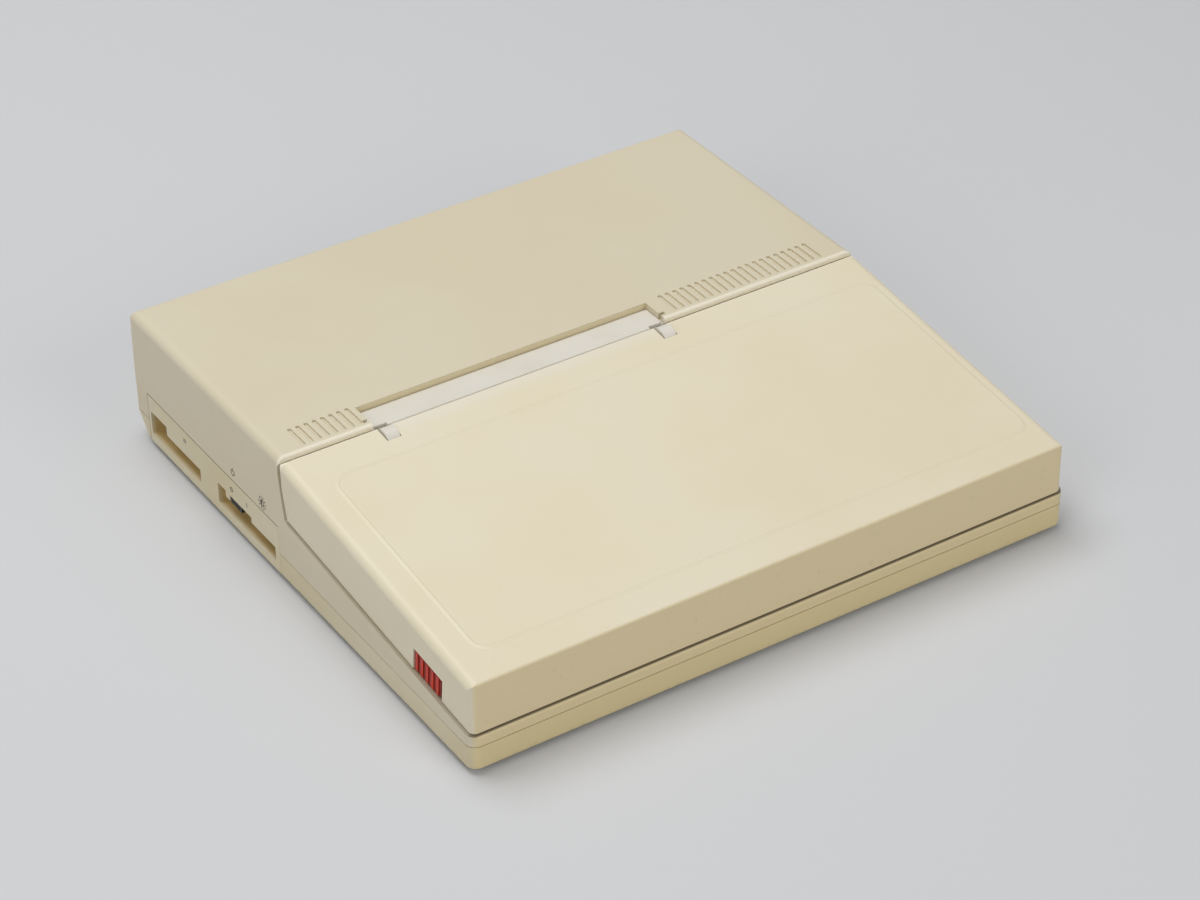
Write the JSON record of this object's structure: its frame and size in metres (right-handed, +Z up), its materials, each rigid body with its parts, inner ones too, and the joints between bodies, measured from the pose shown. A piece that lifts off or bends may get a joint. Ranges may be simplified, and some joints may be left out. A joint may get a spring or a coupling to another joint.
{
  "type": "laptop computer",
  "caption": "Wedge-fronted portable computer with a full-width lid hinged at mid-depth, a raised rear housing, ribbed lid latches and stepped control pockets in its flank.",
  "frame": {"origin": "centre of the footprint, on the surface that the feet stand on", "axes": "+Z up, -Y towards the user and the lid's free edge, +X to the user's right"},
  "size_m": [0.311, 0.304, 0.066],
  "materials": {
    "case_plastic": "satin",
    "lid_plastic": "satin",
    "light_plastic": "satin",
    "red_plastic": "satin",
    "black_plastic": "satin",
    "key_plastic": "satin",
    "key_brown": "satin",
    "switch_plastic": "satin",
    "drive_plastic": "satin",
    "rubber": "matte",
    "steel": "satin",
    "die_cast": "satin",
    "circuit_board": "satin",
    "cell_sleeve": "satin",
    "speaker_metal": "satin",
    "screen_glass": "gloss",
    "lamp_lens": "gloss",
    "ribbon_film": "satin"
  },
  "bodies": {
    "base": {"battery_cells": "cell_sleeve", "battery_tray": "black_plastic", "bottom_case": "case_plastic", "capacitors": "die_cast", "carriage_rods": "steel", "case_screws": "steel", "contrast_control": "black_plastic", "dc_inlet": "black_plastic", "display_cable_base": "ribbon_film", "drive_bezel": "drive_plastic", "drive_bracket": "steel", "drive_frame": "die_cast", "hinge_bracket_left": "light_plastic", "hinge_bracket_right": "light_plastic", "hinge_cover": "light_plastic", "hinge_pins": "steel", "hinge_screws": "steel", "hinge_washers": "steel", "key_switches": "switch_plastic", "keyboard_board": "circuit_board", "keyboard_plate": "steel", "main_board": "circuit_board", "main_chips": "black_plastic", "power_board": "circuit_board", "power_parts": "black_plastic", "rear_panel": "drive_plastic", "rubber_feet": "rubber", "side_panel_left": "case_plastic", "side_panel_right": "case_plastic", "socket_small": "steel", "socket_wide": "steel", "speaker": "speaker_metal", "status_lamps": "lamp_lens", "switch_body": "black_plastic", "top_case": "case_plastic", "video_jack": "black_plastic"},
    "lid": {"lid_cover": "lid_plastic", "lid_bezel": "lid_plastic", "bezel_screws": "steel", "lcd_glass": "screen_glass", "lcd_frame": "black_plastic", "lcd_board": "circuit_board", "latch_springs": "steel", "display_cable_lid": "ribbon_film"},
    "latch_left": {"latch_left": "red_plastic"},
    "latch_right": {"latch_right": "red_plastic"},
    "power_switch": {"power_switch_knob": "black_plastic"},
    "contrast_wheel": {"contrast_wheel": "black_plastic"},
    "eject_button": {"eject_button": "drive_plastic"},
    "drive_rotor": {"drive_rotor": "die_cast"},
    "head_carriage": {"head_carriage": "die_cast"},
    "keys_function": {"keys_function": "key_brown"},
    "keys_number": {"keys_number": "key_plastic"},
    "keys_upper": {"keys_upper": "key_plastic"},
    "keys_home": {"keys_home": "key_plastic"},
    "keys_lower": {"keys_lower": "key_plastic"},
    "keys_bottom": {"keys_bottom": "key_brown"},
    "space_bar": {"space_bar": "key_plastic"}
  },
  "joints": [
    {"name": "lid_hinge", "type": "hinge", "parent": "base", "child": "lid", "pos_m": [0, 0.002, 0.0597], "axis": [-1, 0, 0], "range_deg": [0, 110]},
    {"name": "power_switch_slide", "type": "slide", "parent": "base", "child": "power_switch", "axis": [0, -1, 0], "range_m": [0, 0.009]},
    {"name": "contrast_turn", "type": "hinge", "parent": "base", "child": "contrast_wheel", "pos_m": [-0.14, 0.025, 0.012], "axis": [0, 0, 1], "range_deg": [0, 270]},
    {"name": "eject_press", "type": "slide", "parent": "base", "child": "eject_button", "axis": [-1, 0, 0], "range_m": [0, 0.0035], "stiffness_N_per_m": 500, "springref_m": -0.002},
    {"name": "drive_spin", "type": "hinge", "parent": "base", "child": "drive_rotor", "pos_m": [0.072, 0.081, 0.04], "axis": [0, 0, 1], "continuous": true},
    {"name": "carriage_slide", "type": "slide", "parent": "base", "child": "head_carriage", "axis": [1, 0, 0], "range_m": [0, 0.014]},
    {"name": "latch_left_slide", "type": "slide", "parent": "lid", "child": "latch_left", "axis": [0, -0.9949, -0.1008], "range_m": [0, 0.0018], "stiffness_N_per_m": 400, "springref_m": -0.002},
    {"name": "latch_right_slide", "type": "slide", "parent": "lid", "child": "latch_right", "axis": [0, -0.9949, -0.1008], "range_m": [0, 0.0018], "stiffness_N_per_m": 400, "springref_m": -0.002},
    {"name": "keys_function_press", "type": "slide", "parent": "base", "child": "keys_function", "axis": [0, 0.1008, -0.9949], "range_m": [0, 0.0033], "stiffness_N_per_m": 600, "springref_m": -0.0015},
    {"name": "keys_number_press", "type": "slide", "parent": "base", "child": "keys_number", "axis": [0, 0.1008, -0.9949], "range_m": [0, 0.0033], "stiffness_N_per_m": 600, "springref_m": -0.0015},
    {"name": "keys_upper_press", "type": "slide", "parent": "base", "child": "keys_upper", "axis": [0, 0.1008, -0.9949], "range_m": [0, 0.0033], "stiffness_N_per_m": 600, "springref_m": -0.0015},
    {"name": "keys_home_press", "type": "slide", "parent": "base", "child": "keys_home", "axis": [0, 0.1008, -0.9949], "range_m": [0, 0.0033], "stiffness_N_per_m": 600, "springref_m": -0.0015},
    {"name": "keys_lower_press", "type": "slide", "parent": "base", "child": "keys_lower", "axis": [0, 0.1008, -0.9949], "range_m": [0, 0.0033], "stiffness_N_per_m": 600, "springref_m": -0.0015},
    {"name": "keys_bottom_press", "type": "slide", "parent": "base", "child": "keys_bottom", "axis": [0, 0.1008, -0.9949], "range_m": [0, 0.0033], "stiffness_N_per_m": 600, "springref_m": -0.0015},
    {"name": "space_bar_press", "type": "slide", "parent": "base", "child": "space_bar", "axis": [0, 0.1008, -0.9949], "range_m": [0, 0.0033], "stiffness_N_per_m": 600, "springref_m": -0.0015}
  ]
}
